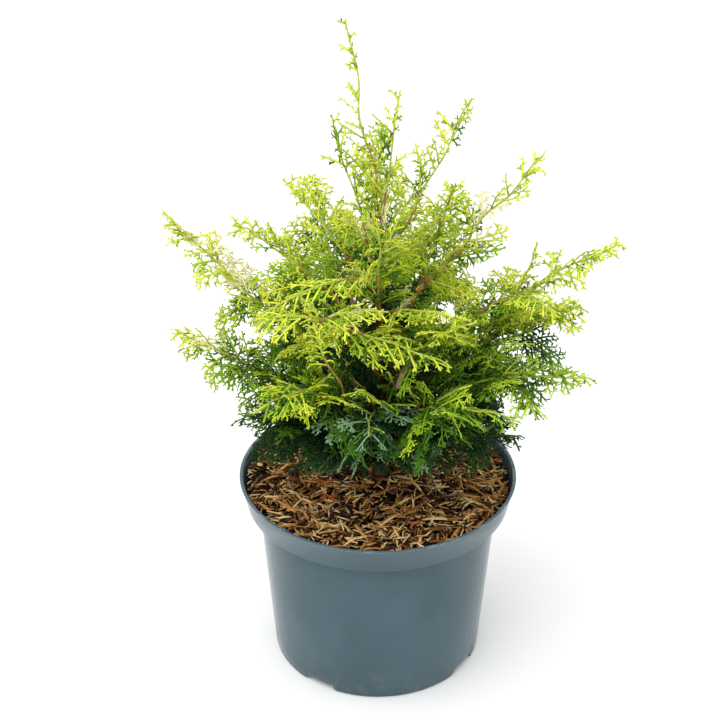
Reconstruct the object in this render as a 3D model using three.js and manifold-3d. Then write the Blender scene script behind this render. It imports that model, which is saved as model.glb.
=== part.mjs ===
// A dwarf hinoki cypress in its nursery pot.
// Millimetres, +Z up, with the origin at the middle of the pot's flat underside.
// The plant is one short trunk that carries steep boughs. Each bough ends in a mass of foliage:
// a twig that carries on the bough's curve, with flat toothed sprays down both its sides.
import * as THREE from "three";
import { mergeVertices } from "three/addons/utils/BufferGeometryUtils.js";
import Module from "manifold-3d";

const wasm = await Module();
wasm.setup();

const CLEAR = 0.3; // air between two pieces that touch in life
const UP = new THREE.Vector3(0, 0, 1);

// Pot: a moulded plastic container with a wide collar and four drain arches in its foot. Body and
// collar both widen upwards.
const POT_HEIGHT = 171;
const POT_SIDES = 40;
const COLLAR_RADIUS = 115.5;
const COLLAR_FOOT_RADIUS = 110.5;
const COLLAR_HEIGHT = 24;
const COLLAR_CORNER = 2.5;
const RIM_BEAD = 0.8;
const BODY_TOP_RADIUS = 101;
const BODY_FOOT_RADIUS = 89.5;
const POT_WALL = 2;
const POT_FLOOR = 3;
const ARCH_COUNT = 4;
const ARCH_FIRST_DEG = -34;
const ARCH_WIDTH = 31;
const ARCH_HEIGHT = 5;
const ARCH_DEPTH = 20;

// Growing medium, and the shredded bark that lies on it.
const SOIL_TOP = 150;
const MULCH_TOP = 159;
const MULCH_SWELL = 1.6;
const MULCH_WAVE = 10; // how far apart the swells lie, for one radian
const MULCH_RINGS = 4;
const MULCH_SEED = 7;
const CHIP_COUNT = 18;
const CHIP_LENGTH = 17;
const CHIP_WIDTH = 4;
const CHIP_THICK = 2;
const CHIP_TILT_DEG = 14;
const CHIP_LENGTHS = [0.6, 1.2]; // of CHIP_LENGTH
const CHIP_RING = [0.25, 0.88]; // of the mulch's radius
const TRUNK_ROOM = 1; // bare ring that the mulch leaves round the trunk

// Trunk: a flared foot on the soil, a slight lean, and a thin top that the leader grows from.
const TRUNK_TOP = 400;
const TRUNK_SIDES = 8;
const TRUNK_STEPS = 14;
const FLARE_RADIUS = 13;
const FLARE_HEIGHT = 14;
const TRUNK_RADIUS = 8;
const TRUNK_TOP_RADIUS = 2.2;
const TRUNK_SUNK = 6; // what is cut away below its flat foot

// Boughs, and the twig that each mass of foliage grows from.
const BOUGH_SIDES = 5;
const BOUGH_STEPS = 4;
const BOUGH_RADIUS = 3.6;
const BOUGH_TO_TRUNK = 0.58; // a bough is never wider than this share of the trunk that bears it
const BOUGH_END_RADIUS = 1.9;
const TWIG_SIDES = 3;
const TWIG_STEPS = 5;
const TWIG_RADIUS = 2.2;
const TWIG_TIP_RADIUS = 1.1;

// Sprays: flat toothed blades that leave the twig on alternate sides.
const SPRAY_PITCH = 16;
const SPRAY_FIRST = 6;
const SPRAY_ANGLE_DEG = 46;
const SPRAY_ANGLE_PLAY_DEG = 9;
const SPRAY_ROLL_PLAY_DEG = 55;
const SPRAY_LENGTH_PLAY = 0.18;
const SPRAY_SAG = 0.16;
const SIDE_AT_FOOT = 0.7; // of the longest spray, or tooth
const SIDE_RISE = 1.5;
const SIDE_FALL = 0.7;
const SPRAY_ATTEMPTS = 8;
const SPRAY_SHORTER = 0.92;
const FOLIAGE_SEED = 100;
const TOOTH_PITCH = 20;
const TOOTH_ANGLE_DEG = 40;
const TOOTH_SHARE = 0.46;
const TOOTH_STAGGER = 0.35;
const TOOTHED_SHARE = 0.84; // of a blade's length, the rest is its end tooth
const BLADE_HALF_WIDTH = 1.2;
const BLADE_HALF_THICK = 0.6;
const BLADE_TAPER = 0.5;
const BLADE_NECK = 3.5;
const BLADE_SUNK = 1;

// A tier is a ring of shoots, and a shoot is [compass, reach, height, bend]: the side it grows to in
// degrees from +X, how far out and how high its tip is, and how far its middle is pulled above a
// straight line (below 0 it sweeps up). foot is how high the lowest leaves the trunk, rise is the
// step to the next, bare is the share of a shoot that is bough, and spray is its longest spray.
const TIERS = [
  {
    name: "skirt", foot: 170, rise: 3, bare: 0.22, spray: 60,
    shoots: [
      [-155, 120, 256, 30], [-117, 104, 232, 34], [-74, 100, 228, 34], [-31, 124, 244, 32],
      [22, 118, 248, 28], [80, 112, 240, 28], [138, 114, 252, 28],
    ],
  },
  {
    name: "low", foot: 196, rise: 5, bare: 0.26, spray: 66,
    shoots: [
      [-169, 163, 323, 14], [-126, 120, 300, 34], [-95, 98, 266, 34], [-62, 122, 290, 38],
      [-18, 172, 292, 34], [6, 165, 318, 26], [66, 150, 300, 26], [122, 150, 306, 24],
    ],
  },
  {
    name: "middle", foot: 240, rise: 7, bare: 0.28, spray: 62,
    shoots: [
      [180, 165, 408, -10], [-118, 108, 366, 18], [-58, 106, 356, 26], [0, 187, 382, 16],
      [60, 132, 384, 10], [118, 132, 390, 8],
    ],
  },
  {
    name: "upper", foot: 282, rise: 8, bare: 0.26, spray: 54,
    shoots: [[163, 122, 382, 34], [13, 132, 445, -2], [88, 84, 448, 4], [-92, 62, 428, 8]],
  },
  {
    name: "crown", foot: 332, rise: 13, bare: 0, spray: 42,
    shoots: [[165, 78, 428, 6], [40, 20, 503, 14], [8, 70, 498, -4], [160, 39, 484, 0]],
  },
];
const LEADER = { tip: new THREE.Vector3(-26, 0, 562), bend: new THREE.Vector3(6, 0, 0), spray: 34 };

// The same small generator seeds every mass, so the plant grows the same way in every build.
function seeded(seed) {
  let state = Math.imul(seed, 2654435761) >>> 0;
  return () => {
    state = (Math.imul(state, 1664525) + 1013904223) >>> 0;
    return state / 4294967296;
  };
}

const radians = (degrees) => (degrees * Math.PI) / 180;
const mix = (a, b, share) => a + (b - a) * share;

// A closed geometry as a solid, and a solid as a named mesh.
function solidOf(geometry) {
  const bare = geometry.clone();
  bare.deleteAttribute("normal");
  bare.deleteAttribute("uv");
  const merged = mergeVertices(bare, 1e-4);
  return new wasm.Manifold(
    new wasm.Mesh({
      numProp: 3,
      vertProperties: merged.attributes.position.array,
      triVerts: new Uint32Array(merged.index.array),
    }),
  );
}

function meshOf(solid, name, material) {
  const { vertProperties, triVerts } = solid.getMesh();
  const geometry = new THREE.BufferGeometry();
  geometry.setAttribute("position", new THREE.BufferAttribute(vertProperties, 3));
  geometry.setIndex(new THREE.BufferAttribute(triVerts, 1));
  geometry.computeVertexNormals();
  const mesh = new THREE.Mesh(geometry, material);
  mesh.name = name;
  return mesh;
}

// The biggest body of a cut or joined solid, without loose scraps.
const largestOf = (solid) =>
  solid.decompose().reduce((best, piece) => (piece.volume() > best.volume() ? piece : best));

// A body of revolution about +Z, from [radius, height] pairs that run from the axis round to the axis.
function turned(profile) {
  const points = profile.map(([radius, height]) => new THREE.Vector2(radius, height));
  return solidOf(new THREE.LatheGeometry(points, POT_SIDES).rotateX(Math.PI / 2));
}

// A round limb that tapers along a curve: a cylinder bent onto it.
function taperedLimb(curve, radiusAt, sides, steps) {
  const geometry = new THREE.CylinderGeometry(1, 1, 1, sides, steps);
  const frames = curve.computeFrenetFrames(steps);
  const position = geometry.attributes.position;
  for (let i = 0; i < position.count; i++) {
    const share = position.getY(i) + 0.5;
    const step = Math.round(share * steps);
    const radius = radiusAt(share);
    const point = curve.getPointAt(share);
    point.addScaledVector(frames.normals[step], position.getX(i) * radius);
    point.addScaledVector(frames.binormals[step], -position.getZ(i) * radius);
    position.setXYZ(i, point.x, point.y, point.z);
  }
  return solidOf(geometry);
}

// ---- Pot ----

const LEDGE = POT_HEIGHT - COLLAR_HEIGHT;

// The inside of the pot's wall, with a gap to it, from the floor's middle up to the collar.
function innerProfile(gap) {
  return [
    [0, POT_FLOOR + gap],
    [BODY_FOOT_RADIUS - POT_WALL - gap, POT_FLOOR + gap],
    [BODY_TOP_RADIUS - POT_WALL - gap, LEDGE - POT_WALL],
    [COLLAR_FOOT_RADIUS - POT_WALL - gap, LEDGE + POT_WALL],
  ];
}

function potSolid() {
  const outside = turned([
    [0, 0],
    [BODY_FOOT_RADIUS - COLLAR_CORNER, 0],
    [BODY_FOOT_RADIUS, COLLAR_CORNER],
    [BODY_TOP_RADIUS, LEDGE - COLLAR_CORNER],
    [COLLAR_FOOT_RADIUS - COLLAR_CORNER, LEDGE],
    [COLLAR_FOOT_RADIUS, LEDGE + COLLAR_CORNER],
    [COLLAR_RADIUS, POT_HEIGHT - 2 * RIM_BEAD],
    [COLLAR_RADIUS + RIM_BEAD, POT_HEIGHT - RIM_BEAD],
    [COLLAR_RADIUS + RIM_BEAD, POT_HEIGHT],
    [0, POT_HEIGHT],
  ]);
  const mouth = COLLAR_RADIUS - POT_WALL;
  const above = POT_HEIGHT + COLLAR_HEIGHT;
  const inside = turned([...innerProfile(0), [mouth, POT_HEIGHT], [mouth, above], [0, above]]);
  let pot = outside.subtract(inside);
  for (let k = 0; k < ARCH_COUNT; k++) {
    const turn = radians(ARCH_FIRST_DEG + (k * 360) / ARCH_COUNT);
    pot = pot.add(archBlock(turn, POT_FLOOR).intersect(outside)).subtract(archBlock(turn, 0));
  }
  return pot;
}

// A block with sloping sides that reaches in from the foot's edge. Grown, it is the arch's own roof.
function archBlock(turn, grow) {
  const half = ARCH_WIDTH / 2 + grow;
  const height = ARCH_HEIGHT + grow;
  const outline = new THREE.Shape([
    new THREE.Vector2(-half, -1),
    new THREE.Vector2(half, -1),
    new THREE.Vector2(half - height, height),
    new THREE.Vector2(-half, height),
  ]);
  const depth = 2 * ARCH_DEPTH + grow;
  const block = new THREE.ExtrudeGeometry(outline, { depth, bevelEnabled: false });
  block.rotateX(Math.PI / 2).translate(0, BODY_FOOT_RADIUS + ARCH_DEPTH, 0);
  return solidOf(block.rotateZ(turn - Math.PI / 2));
}

// The medium fills the pot from the arches' roofs up.
function soilSolid() {
  const [, foot, shoulder, edge] = innerProfile(2 * CLEAR);
  const base = ARCH_HEIGHT + POT_FLOOR + CLEAR;
  return turned([
    [0, base],
    [mix(foot[0], shoulder[0], base / shoulder[1]) - CLEAR, base],
    [shoulder[0], shoulder[1]],
    [edge[0], SOIL_TOP],
    [0, SOIL_TOP],
  ]);
}

// A low uneven disc with a few long chips lying in it, and room for the trunk's foot.
function mulchSolid() {
  const random = seeded(MULCH_SEED);
  const radius = COLLAR_FOOT_RADIUS - POT_WALL - 2 * CLEAR;
  const base = SOIL_TOP + CLEAR;
  const profile = [new THREE.Vector2(0, base), new THREE.Vector2(radius, base)];
  for (let ring = MULCH_RINGS; ring >= 0; ring--)
    profile.push(new THREE.Vector2((radius * ring) / MULCH_RINGS, MULCH_TOP));
  const disc = new THREE.LatheGeometry(profile, POT_SIDES / 2).rotateX(Math.PI / 2);
  const position = disc.attributes.position;
  for (let i = 0; i < position.count; i++) {
    if (position.getZ(i) < base + CLEAR) continue;
    const x = position.getX(i);
    const y = position.getY(i);
    const swell = Math.sin(x / MULCH_WAVE) * Math.cos(y / MULCH_WAVE);
    const ripple = Math.sin((2 * (x - y)) / MULCH_WAVE) / 2;
    position.setZ(i, MULCH_TOP + MULCH_SWELL * (swell + ripple));
  }
  let mulch = solidOf(disc);
  for (let k = 0; k < CHIP_COUNT; k++) {
    const away = mix(...CHIP_RING, Math.sqrt(random())) * radius;
    const around = random() * 2 * Math.PI;
    const length = CHIP_LENGTH * mix(...CHIP_LENGTHS, random());
    const chip = new THREE.BoxGeometry(length, CHIP_WIDTH, CHIP_THICK);
    const tilt = radians(mix(-CHIP_TILT_DEG, CHIP_TILT_DEG, random()));
    chip.rotateY(tilt).rotateZ(random() * Math.PI);
    chip.translate(away * Math.cos(around), away * Math.sin(around), MULCH_TOP + CHIP_THICK / 2);
    mulch = mulch.add(solidOf(chip));
  }
  const room = FLARE_RADIUS + TRUNK_ROOM;
  const hole = new THREE.CylinderGeometry(room, room, POT_HEIGHT, 2 * TRUNK_SIDES);
  return largestOf(mulch.subtract(solidOf(hole.rotateX(Math.PI / 2).translate(0, 0, MULCH_TOP))));
}

// ---- Trunk and boughs ----

const trunkCurve = new THREE.CatmullRomCurve3([
  new THREE.Vector3(0, 0, SOIL_TOP - TRUNK_SUNK / 2),
  new THREE.Vector3(1, -3, mix(SOIL_TOP, TRUNK_TOP, 1 / 3)),
  new THREE.Vector3(2, -1, mix(SOIL_TOP, TRUNK_TOP, 2 / 3)),
  new THREE.Vector3(-3, 0, TRUNK_TOP),
]);

function trunkRadius(share) {
  const flare = Math.exp((-share * (TRUNK_TOP - SOIL_TOP)) / FLARE_HEIGHT);
  return mix(TRUNK_RADIUS, TRUNK_TOP_RADIUS, share) + (FLARE_RADIUS - TRUNK_RADIUS) * flare;
}

// The trunk, cut flat where it stands on the medium. Grown, it is the room that it takes.
function trunkSolid(grow) {
  const limb = taperedLimb(trunkCurve, (share) => trunkRadius(share) + grow, TRUNK_SIDES, TRUNK_STEPS);
  const ground = new THREE.BoxGeometry(4 * FLARE_RADIUS, 4 * FLARE_RADIUS, 2 * TRUNK_SUNK);
  return limb.subtract(solidOf(ground.translate(0, 0, SOIL_TOP + CLEAR - TRUNK_SUNK)));
}

// The whole curve of one shoot, from the trunk's heart to its tip.
function shootCurve([compass, reach, height, bend], foot) {
  const turn = radians(compass);
  const tip = new THREE.Vector3(reach * Math.cos(turn), reach * Math.sin(turn), height);
  const middle = foot.clone().lerp(tip, 0.5).addScaledVector(UP, bend);
  return new THREE.QuadraticBezierCurve3(foot, middle, tip);
}

// The stretch of such a curve between two shares of it.
function partOf(curve, from, to) {
  const start = curve.getPoint(from);
  const end = curve.getPoint(to);
  const middle = curve.getPoint((from + to) / 2).multiplyScalar(2);
  middle.addScaledVector(start, -0.5).addScaledVector(end, -0.5);
  return new THREE.QuadraticBezierCurve3(start, middle, end);
}

// Every shoot: its bough's curve, where it has one, and the curve of the twig in its mass.
function growShoots() {
  const shoots = [];
  for (const tier of TIERS)
    tier.shoots.forEach((shoot, k) => {
      const spiral = (3 * k) % tier.shoots.length; // neighbours leave the trunk at unlike heights
      const share = (tier.foot + tier.rise * spiral - SOIL_TOP) / (TRUNK_TOP - SOIL_TOP);
      const whole = shootCurve(shoot, trunkCurve.getPointAt(share));
      const gap = CLEAR / whole.getLength();
      shoots.push({
        name: `${tier.name}_${k + 1}`,
        compass: radians(shoot[0]),
        spray: tier.spray,
        radius: Math.min(BOUGH_RADIUS, BOUGH_TO_TRUNK * trunkRadius(share)),
        bough: tier.bare > 0 ? partOf(whole, 0, tier.bare) : null,
        twig: partOf(whole, tier.bare > 0 ? tier.bare + gap : 0, 1),
      });
    });
  const top = trunkCurve.getPointAt(1).addScaledVector(UP, CLEAR);
  const middle = top.clone().lerp(LEADER.tip, 0.5).add(LEADER.bend);
  shoots.push({
    name: "leader",
    compass: 0,
    spray: LEADER.spray,
    bough: null,
    twig: new THREE.QuadraticBezierCurve3(top, middle, LEADER.tip),
  });
  return shoots;
}

// ---- Foliage ----

// How long a side piece is for its place on what carries it: full near the foot, short at the tip.
const sideProfile = (share) =>
  Math.min(1, SIDE_AT_FOOT + SIDE_RISE * share) * (1 - SIDE_FALL * share * share);

// A flat spray in its own frame: a slim core with teeth that lean to its tip down both edges.
function bladeSolid({ root, along, side, normal }, length) {
  const teeth = Math.max(2, Math.round(length / TOOTH_PITCH));
  const lean = radians(TOOTH_ANGLE_DEG);
  const corners = [];
  const triangles = [];
  const corner = (x, y, z) => {
    const point = root.clone().addScaledVector(along, x).addScaledVector(side, y);
    point.addScaledVector(normal, z).addScaledVector(UP, (-SPRAY_SAG * x * x) / length);
    return corners.push(...point.toArray()) / 3 - 1;
  };
  const notchRow = (hand) =>
    Array.from({ length: teeth + 1 }, (_, i) => {
      const stagger = hand < 0 && i > 0 && i < teeth ? TOOTH_STAGGER : 0;
      const x = mix(BLADE_NECK, TOOTHED_SHARE * length, (i - stagger) / teeth);
      const slim = mix(1, BLADE_TAPER, i / teeth);
      const y = hand * slim * BLADE_HALF_WIDTH;
      const z = slim * BLADE_HALF_THICK;
      return { x, top: corner(x, y, z), under: corner(x, y, -z) };
    });
  const spike = (a, b, tip) =>
    triangles.push(a.top, b.top, tip, b.under, a.under, tip, a.top, tip, a.under, tip, b.top, b.under);
  const quad = (a, b, c, d) => triangles.push(a, b, c, a, c, d);
  const left = notchRow(1);
  const right = notchRow(-1);
  for (let i = 0; i < teeth; i++) {
    const reach = length * TOOTH_SHARE * sideProfile((i + 0.5) / teeth);
    const ahead = reach * Math.cos(lean) + BLADE_HALF_WIDTH;
    const away = reach * Math.sin(lean);
    spike(left[i], left[i + 1], corner(left[i].x + ahead, away, 0));
    spike(right[i + 1], right[i], corner(right[i].x + ahead, -away, 0));
    quad(right[i].top, right[i + 1].top, left[i + 1].top, left[i].top);
    quad(left[i].under, left[i + 1].under, right[i + 1].under, right[i].under);
  }
  spike(left[teeth], right[teeth], corner(length, 0, 0));
  spike(right[0], left[0], corner(-BLADE_SUNK, 0, 0));
  const geometry = new THREE.BufferGeometry();
  geometry.setAttribute("position", new THREE.Float32BufferAttribute(corners, 3));
  return solidOf(geometry.setIndex(triangles));
}

// One spray of a shoot: where it leaves the twig, which way it lies and how far it reaches.
// Sprays take turns on the twig's two sides, each rolled round the twig by its own amount.
function sprayAt(shoot, k, random) {
  const play = (amount) => amount * (2 * random() - 1);
  const share = (SPRAY_FIRST + k * SPRAY_PITCH) / shoot.twig.getLength();
  const tangent = shoot.twig.getTangentAt(share);
  const across = new THREE.Vector3(-Math.sin(shoot.compass), Math.cos(shoot.compass), 0);
  const roll = radians(play(SPRAY_ROLL_PLAY_DEG));
  const lean = radians(SPRAY_ANGLE_DEG + play(SPRAY_ANGLE_PLAY_DEG));
  const reach = shoot.spray * sideProfile(share) * (1 + play(SPRAY_LENGTH_PLAY));
  const out = across.multiplyScalar(k % 2 ? 1 : -1).applyAxisAngle(tangent, roll);
  const along = tangent.clone().multiplyScalar(Math.cos(lean)).addScaledVector(out, Math.sin(lean));
  const normal = new THREE.Vector3().crossVectors(tangent, out).normalize();
  const side = new THREE.Vector3().crossVectors(normal, along);
  return { root: shoot.twig.getPointAt(share), along, side, normal, reach };
}

const isClear = (piece, others) => others.every((other) => piece.minGap(other, 2 * CLEAR) > CLEAR);

// A spray that keeps clear of the other limbs and masses. It is turned and laid again a few times,
// and made shorter each time, and where nothing fits the place stays bare.
function fittingBlade(shoot, k, random, others) {
  for (let attempt = 0; attempt < SPRAY_ATTEMPTS; attempt++) {
    const spray = sprayAt(shoot, k, random);
    const blade = bladeSolid(spray, spray.reach * SPRAY_SHORTER ** attempt);
    if (isClear(blade, others.filter((other) => boxesMeet(blade, other)))) return blade;
  }
  return null;
}

// The masses take their sprays in turn, tip first, so that they share the crown fairly.
function growMasses(shoots, limbs) {
  const masses = shoots.map((shoot, k) => ({
    shoot,
    random: seeded(FOLIAGE_SEED + k),
    count: Math.ceil((shoot.twig.getLength() - SPRAY_FIRST) / SPRAY_PITCH),
    pieces: [twigSolid(shoot)],
  }));
  const most = Math.max(...masses.map((mass) => mass.count));
  for (let turn = 1; turn <= most; turn++)
    for (const mass of masses.filter((each) => each.count >= turn)) {
      const others = [...limbs, ...masses.filter((m) => m !== mass).flatMap((m) => m.pieces)];
      const blade = fittingBlade(mass.shoot, mass.count - turn, mass.random, others);
      if (blade) mass.pieces.push(blade);
    }
  return masses.map((mass) => largestOf(mass.pieces.reduce((whole, piece) => whole.add(piece))));
}

function boxesMeet(a, b) {
  const p = a.boundingBox();
  const q = b.boundingBox();
  return [0, 1, 2].every((i) => p.min[i] < q.max[i] + CLEAR && q.min[i] < p.max[i] + CLEAR);
}

const twigSolid = (shoot) =>
  taperedLimb(shoot.twig, (share) => mix(TWIG_RADIUS, TWIG_TIP_RADIUS, share), TWIG_SIDES, TWIG_STEPS);

const boughSolid = ({ bough, radius }) =>
  taperedLimb(bough, (share) => mix(radius, BOUGH_END_RADIUS, share), BOUGH_SIDES, BOUGH_STEPS);

// ---- Assembly ----

const finish = (color, roughness) => new THREE.MeshStandardMaterial({ color, roughness, metalness: 0 });
const plastic = finish(0x53626b, 0.5);
const peat = finish(0x2e2118, 1);
const barkChips = finish(0x8a6238, 0.95);
const bark = finish(0x9a6a3e, 0.9);
const leafage = {
  skirt: finish(0x4c7a45, 0.7),
  low: finish(0x7fa83a, 0.7),
  middle: finish(0x9cc03a, 0.7),
  upper: finish(0xa9c83f, 0.7),
  crown: finish(0xb2cc48, 0.7),
  leader: finish(0xb2cc48, 0.7),
};

const plant = new THREE.Group();
plant.add(meshOf(potSolid(), "pot", plastic));
plant.add(meshOf(soilSolid(), "soil", peat));
plant.add(meshOf(mulchSolid(), "mulch", barkChips));

const trunk = trunkSolid(0);
const trunkWithAir = trunkSolid(CLEAR);
plant.add(meshOf(trunk, "trunk", bark));

const shoots = growShoots();
const limbs = [trunk];
for (const shoot of shoots.filter((each) => each.bough)) {
  const bough = largestOf(boughSolid(shoot).subtract(trunkWithAir));
  limbs.push(bough);
  plant.add(meshOf(bough, `bough_${shoot.name}`, bark));
}
growMasses(shoots, limbs).forEach((mass, k) => {
  const name = shoots[k].name;
  const clear = largestOf(mass.subtract(trunkWithAir));
  plant.add(meshOf(clear, `foliage_${name}`, leafage[name.split("_")[0]]));
});

export default plant;
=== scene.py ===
"""A dwarf hinoki cypress in its nursery pot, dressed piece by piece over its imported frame."""

import math

import bmesh
import bpy
import numpy as np
from mathutils import Matrix, Vector, noise


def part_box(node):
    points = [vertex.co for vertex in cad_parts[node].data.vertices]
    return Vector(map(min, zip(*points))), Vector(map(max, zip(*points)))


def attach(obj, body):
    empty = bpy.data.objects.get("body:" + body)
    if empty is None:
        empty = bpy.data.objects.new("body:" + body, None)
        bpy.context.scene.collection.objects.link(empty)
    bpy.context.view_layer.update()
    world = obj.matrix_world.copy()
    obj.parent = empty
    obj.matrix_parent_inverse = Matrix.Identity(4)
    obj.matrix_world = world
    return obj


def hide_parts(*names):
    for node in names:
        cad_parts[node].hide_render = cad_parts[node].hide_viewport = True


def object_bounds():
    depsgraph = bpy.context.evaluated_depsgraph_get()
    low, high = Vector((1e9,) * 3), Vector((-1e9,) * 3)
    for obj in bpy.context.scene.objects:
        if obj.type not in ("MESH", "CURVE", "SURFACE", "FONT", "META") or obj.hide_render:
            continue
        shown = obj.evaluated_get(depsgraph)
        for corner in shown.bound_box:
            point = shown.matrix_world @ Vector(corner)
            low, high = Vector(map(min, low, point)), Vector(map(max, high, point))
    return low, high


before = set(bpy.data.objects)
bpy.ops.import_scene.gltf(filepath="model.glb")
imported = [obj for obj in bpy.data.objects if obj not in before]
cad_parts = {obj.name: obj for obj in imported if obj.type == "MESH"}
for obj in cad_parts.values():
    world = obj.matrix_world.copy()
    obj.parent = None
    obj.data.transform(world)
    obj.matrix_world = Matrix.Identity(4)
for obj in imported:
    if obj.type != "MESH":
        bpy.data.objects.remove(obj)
cad_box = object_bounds()

# ---- Studio ----
# A pale seamless floor under a white tent: even light from all round, one broad soft key from the
# upper left, and a tall soft box behind on the left that draws the bright edge down the pot.

FLOOR_SIDE = 14
FLOOR_GREY = 0.9
FLOOR_ROUGHNESS = 0.9
TENT_STRENGTH = 1.2
KEY_STRENGTH = 1.0
KEY_SPREAD_DEG = 50
KEY_AIM = Vector((0.4, 0.35, -0.86))
SIDE_BOX_AT = Vector((-1.3, 0.35, 0.5))
SIDE_BOX_SIZE = (0.9, 1.2)
SIDE_BOX_WATTS = 2.5
SIDE_BOX_TARGET = Vector((0, 0, 0.1))
CAMERA_AT = Vector((-0.015, -1.128, 0.916))
CAMERA_TILT_DEG = 60.5
CAMERA_LENS = 80
CAMERA_SENSOR = 36


def put_in_scene(name, data):
    made = bpy.data.objects.new(name, data)
    bpy.context.scene.collection.objects.link(made)
    return made


floor_form = bmesh.new()
bmesh.ops.create_grid(floor_form, x_segments=1, y_segments=1, size=FLOOR_SIDE / 2)
floor_mesh = bpy.data.meshes.new("studio_floor")
floor_form.to_mesh(floor_mesh)
floor_form.free()
floor = put_in_scene("studio_floor", floor_mesh)
floor_paper = bpy.data.materials.new("floor_paper")
floor_paper.use_nodes = True
paper = floor_paper.node_tree.nodes["Principled BSDF"]
paper.inputs["Base Color"].default_value = (FLOOR_GREY, FLOOR_GREY, FLOOR_GREY, 1)
paper.inputs["Roughness"].default_value = FLOOR_ROUGHNESS
floor_mesh.materials.append(floor_paper)

tent = bpy.data.worlds.new("white_tent")
tent.use_nodes = True
tent.node_tree.nodes["Background"].inputs["Color"].default_value = (1, 1, 1, 1)
tent.node_tree.nodes["Background"].inputs["Strength"].default_value = TENT_STRENGTH
bpy.context.scene.world = tent
bpy.context.scene.view_settings.view_transform = "Standard"

key = put_in_scene("key_light", bpy.data.lights.new("key_light", "SUN"))
key.data.energy = KEY_STRENGTH
key.data.angle = math.radians(KEY_SPREAD_DEG)
key.rotation_euler = KEY_AIM.to_track_quat("-Z", "Y").to_euler()

side_box = put_in_scene("side_box", bpy.data.lights.new("side_box", "AREA"))
side_box.data.shape = "RECTANGLE"
side_box.data.size, side_box.data.size_y = SIDE_BOX_SIZE
side_box.data.energy = SIDE_BOX_WATTS
side_box.location = SIDE_BOX_AT
side_box.rotation_euler = (SIDE_BOX_TARGET - SIDE_BOX_AT).to_track_quat("-Z", "Y").to_euler()

camera = put_in_scene("camera", bpy.data.cameras.new("camera"))
camera.data.lens = CAMERA_LENS
camera.data.sensor_width = CAMERA_SENSOR
camera.location = CAMERA_AT
camera.rotation_euler = (math.radians(CAMERA_TILT_DEG), 0, 0)
bpy.context.scene.camera = camera

# ---- Pot ----
# A round container moulded in one shot from slate grey polypropylene, with a thin wall. A wide
# collar with a rounded bead stiffens its mouth, and four arches in its foot let water out.

MM = 0.001
WELD = 0.001  # points this close become one
NEAR = 0.01
pot_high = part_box("pot")[1]
POT_HEIGHT = pot_high.z / MM
RIM_BEAD = 0.8
COLLAR_RADIUS = pot_high.x / MM - RIM_BEAD
COLLAR_FOOT_RADIUS = 110.5
COLLAR_HEIGHT = 24
BODY_TOP_RADIUS = 101
FOOT_RADIUS = 89.5
POT_WALL = 2
POT_FLOOR = 3
FOOT_CORNER = 2
COLLAR_CORNER = 2.5
BEAD_FOOT_CORNER = 0.3
BEAD_CORNER = 0.45
MOUTH_CORNER = 0.7
SHARP_DEG = 35
POT_STEPS = 240
ARCH_DEGREES = (-34, 56, 146, 236)
ARCH_WIDTH = 31
ARCH_HEIGHT = 5
ARCH_INNER_RADIUS = 68
ARCH_END = ARCH_INNER_RADIUS - 4  # where the floor is level again
ARCH_LOW = 12  # what lies lower than this is lifted over an arch
SLATE = "3e535a"
SLATE_CLOUD = "465b64"
SLATE_WORN_AND_HIGHLIT = "6a808a"
POT_DUST = "766f62"


class Wire:
    """A socket of a material. An expression on it adds its Math nodes, and node() adds any other."""

    def __init__(self, tree, socket=None):
        self.tree = tree
        self.socket = socket

    def node(self, kind, settings, inputs, output=0):
        made = self.tree.nodes.new("ShaderNode" + kind)
        for name, value in settings.items():
            setattr(made, name, value)
        for name, value in inputs.items():
            if isinstance(value, Wire):
                self.tree.links.new(value.socket, made.inputs[name])
            else:
                made.inputs[name].default_value = value
        return Wire(self.tree, made.outputs[output] if made.outputs else None)

    def math(self, operation, *values):
        return self.node("Math", {"operation": operation}, dict(enumerate(values)))

    def __add__(self, other):
        return self.math("ADD", self, other)

    def __rsub__(self, other):
        return self.math("SUBTRACT", other, self)

    def __mul__(self, other):
        return self.math("MULTIPLY", self, other)

    __radd__ = __add__
    __rmul__ = __mul__

    def ramp(self, low, high):
        """0 below low, 1 above high, and smooth between them."""
        ends = {"From Min": low, "From Max": high, "Value": self}
        return self.node("MapRange", {"interpolation_type": "SMOOTHSTEP"}, ends)

    def blend(self, low, high):
        """The colour low where this is 0, and high where it is 1."""
        return self.node("Mix", {"data_type": "RGBA"}, {0: self, 6: low, 7: high}, output=2)

    def cloud(self, place, scale, detail=2.0):
        return self.node("TexNoise", {}, {"Vector": place, "Scale": scale, "Detail": detail})

    def stretched(self, place, *scale):
        return self.node("Mapping", {}, {"Vector": place, "Scale": scale})


def linear(tint, level=1):
    """A screen colour such as 5b6c75 as a shader takes it, made lighter or darker."""
    shares = [int(tint[i : i + 2], 16) / 255 for i in (0, 2, 4)]
    flat = [v / 12.92 if v < 0.04045 else ((v + 0.055) / 1.055) ** 2.4 for v in shares]
    return (*(min(1, level * v) for v in flat), 1)


def new_finish(name):
    """An empty material, and a wire to build it from."""
    made = bpy.data.materials.new(name)
    made.use_nodes = True
    made.node_tree.nodes.clear()
    return made, Wire(made.node_tree)


def coat(wire, colour, roughness, normal, shine=0.5):
    """Ends a material in its one shader."""
    sockets = {"Base Color": colour, "Roughness": roughness, "Normal": normal}
    shader = wire.node("BsdfPrincipled", {}, {**sockets, "Specular IOR Level": shine})
    wire.node("OutputMaterial", {}, {"Surface": shader})


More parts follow.
